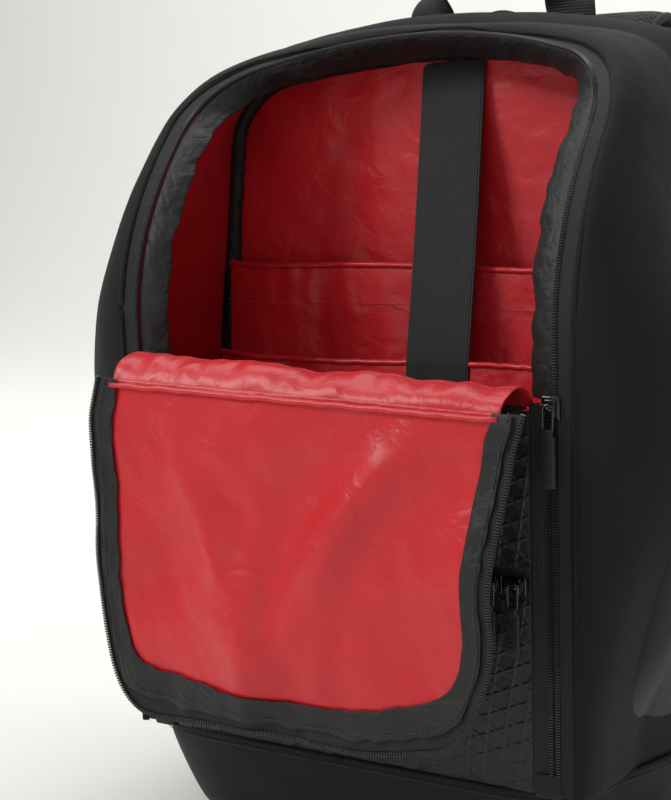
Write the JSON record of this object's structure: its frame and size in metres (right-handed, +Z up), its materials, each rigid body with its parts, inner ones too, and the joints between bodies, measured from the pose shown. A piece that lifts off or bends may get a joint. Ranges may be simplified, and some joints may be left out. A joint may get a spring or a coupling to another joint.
{
  "type": "racket backpack",
  "caption": "Upright backpack with a zipped front flap hanging open, red lined compartment with laptop sleeve and strap, racket compartment, side pockets and shoulder straps.",
  "frame": {"origin": "middle of the flat underside of the base, between the two side faces, on the ground", "axes": "+Z up, +Y to the shoulder straps, so the opening faces -Y, and X across the bag"},
  "size_m": [0.3658, 0.3128, 0.4945],
  "materials": {
    "coated_fabric": "matt coated nylon",
    "base_fabric": "smooth coated fabric",
    "red_lining": "red nylon taffeta with a soft sheen",
    "black_lining": "black taffeta",
    "zip_tape": "woven zipper tape",
    "zip_coil": "nylon coil",
    "webbing": "ribbed polypropylene webbing",
    "strap_mesh": "spacer mesh over foam",
    "pocket_stretch": "stretch knit",
    "elastic": "ribbed elastic binding",
    "stiffener": "extruded polyethylene sheet",
    "acetal": "moulded acetal",
    "slider_metal": "gloss black die cast",
    "pull_rubber": "moulded rubber over a metal link"
  },
  "bodies": {
    "bag": {"back_pad_left": "strap_mesh", "back_pad_right": "strap_mesh", "back_panel": "coated_fabric", "back_seam_binding": "black_lining", "base_board": "stiffener", "base_lining": "red_lining", "base_tub": "base_fabric", "bottle_pocket_left": "pocket_stretch", "bottle_pocket_right": "pocket_stretch", "divider_panel": "red_lining", "frame_sheet": "stiffener", "front_panel": "coated_fabric", "front_pocket_pouch": "black_lining", "front_zip_coils": "zip_coil", "front_zip_tapes": "zip_tape", "gusset_left": "coated_fabric", "gusset_right": "coated_fabric", "gusset_top": "coated_fabric", "hang_loop": "webbing", "laptop_sleeve": "red_lining", "laptop_strap": "webbing", "lining_back_wall": "red_lining", "lining_left": "red_lining", "lining_right": "red_lining", "lining_top": "red_lining", "main_zip_coil": "zip_coil", "main_zip_tape": "zip_tape", "opening_facing": "black_lining", "organizer_pocket": "red_lining", "pocket_elastics": "elastic", "pocket_zip_coils": "zip_coil", "pocket_zip_tapes": "zip_tape", "racket_zip_coils": "zip_coil", "racket_zip_tapes": "zip_tape", "rear_gusset": "coated_fabric", "sewn_patches": "coated_fabric", "zip_garages": "coated_fabric"},
    "fold": {"flap_fold": "red_lining"},
    "flap": {"flap_panel": "coated_fabric", "flap_zip_tape": "zip_tape", "flap_zip_coil": "zip_coil", "flap_lining": "red_lining", "flap_binding": "black_lining"},
    "main_slider_left": {"main_slider_left": "slider_metal"},
    "main_slider_right": {"main_slider_right": "slider_metal"},
    "pocket_slider_1": {"pocket_slider_1": "slider_metal"},
    "pocket_slider_2": {"pocket_slider_2": "slider_metal"},
    "racket_slider": {"racket_slider": "slider_metal"},
    "main_pull_left": {"main_pull_left": "pull_rubber"},
    "main_pull_right": {"main_pull_right": "pull_rubber"},
    "pocket_pull_1": {"pocket_pull_1": "pull_rubber"},
    "pocket_pull_2": {"pocket_pull_2": "pull_rubber"},
    "racket_pull": {"racket_pull": "pull_rubber"},
    "haul_handle": {"haul_handle": "webbing"},
    "shoulder_strap_left": {"shoulder_strap_left": "strap_mesh", "ladder_lock_left": "acetal", "strap_webbing_left": "webbing"},
    "shoulder_strap_right": {"shoulder_strap_right": "strap_mesh", "ladder_lock_right": "acetal", "strap_webbing_right": "webbing"}
  },
  "joints": [
    {"name": "flap_lower_fold", "type": "hinge", "parent": "bag", "child": "fold", "pos_m": [0, -0.08959, 0.246], "axis": [-1, 0, 0], "range_deg": [0, 98]},
    {"name": "flap_upper_fold", "type": "hinge", "parent": "fold", "child": "flap", "pos_m": [0, -0.12391, 0.23868], "axis": [-1, 0, 0], "range_deg": [0, 114]},
    {"name": "main_slider_right_run", "type": "slide", "parent": "bag", "child": "main_slider_right", "axis": [0, -0.0706, 0.9975], "range_m": [-0.158, 0]},
    {"name": "main_pull_right_swing", "type": "hinge", "parent": "main_slider_right", "child": "main_pull_right", "pos_m": [0.115, -0.09504, 0.2436], "axis": [-1, 0, 0], "range_deg": [0, 150]},
    {"name": "main_slider_left_run", "type": "slide", "parent": "bag", "child": "main_slider_left", "axis": [0, -0.0706, 0.9975], "range_m": [-0.158, 0]},
    {"name": "main_pull_left_swing", "type": "hinge", "parent": "main_slider_left", "child": "main_pull_left", "pos_m": [-0.115, -0.09504, 0.2436], "axis": [-1, 0, 0], "range_deg": [0, 150]},
    {"name": "pocket_slider_1_run", "type": "slide", "parent": "bag", "child": "pocket_slider_1", "axis": [1, 0, 0], "range_m": [-0.1654, 0]},
    {"name": "pocket_pull_1_swing", "type": "hinge", "parent": "pocket_slider_1", "child": "pocket_pull_1", "pos_m": [0.0844, -0.08895, 0.1576], "axis": [-1, 0, 0], "range_deg": [0, 20]},
    {"name": "pocket_slider_2_run", "type": "slide", "parent": "bag", "child": "pocket_slider_2", "axis": [1, 0, 0], "range_m": [-0.0008, 0]},
    {"name": "pocket_pull_2_swing", "type": "hinge", "parent": "pocket_slider_2", "child": "pocket_pull_2", "pos_m": [0.0966, -0.08895, 0.1576], "axis": [-1, 0, 0], "range_deg": [0, 20]},
    {"name": "racket_slider_run", "type": "slide", "parent": "bag", "child": "racket_slider", "axis": [0, 0, 1], "range_m": [-0.25, 0.02]},
    {"name": "racket_pull_swing", "type": "hinge", "parent": "racket_slider", "child": "racket_pull", "pos_m": [0.1588, 0.06875, 0.34], "axis": [0, -1, 0], "range_deg": [0, 150]},
    {"name": "haul_handle_fold", "type": "hinge", "parent": "bag", "child": "haul_handle", "pos_m": [0, 0.112, 0.444], "axis": [1, 0, 0], "range_deg": [-60, 72]},
    {"name": "shoulder_strap_right_swing", "type": "hinge", "parent": "bag", "child": "shoulder_strap_right", "pos_m": [0.124, 0.1155, 0.084], "axis": [0.1871, -0.0234, -0.9821], "range_deg": [-8, 8], "stiffness_Nm_per_rad": 0.5},
    {"name": "shoulder_strap_left_swing", "type": "hinge", "parent": "bag", "child": "shoulder_strap_left", "pos_m": [-0.124, 0.1155, 0.084], "axis": [-0.1871, -0.0234, -0.9821], "range_deg": [-8, 8], "stiffness_Nm_per_rad": 0.5}
  ],
  "couplings": [
    {"joint": "flap_upper_fold", "follows": "flap_lower_fold", "ratio": 1.1633}
  ]
}
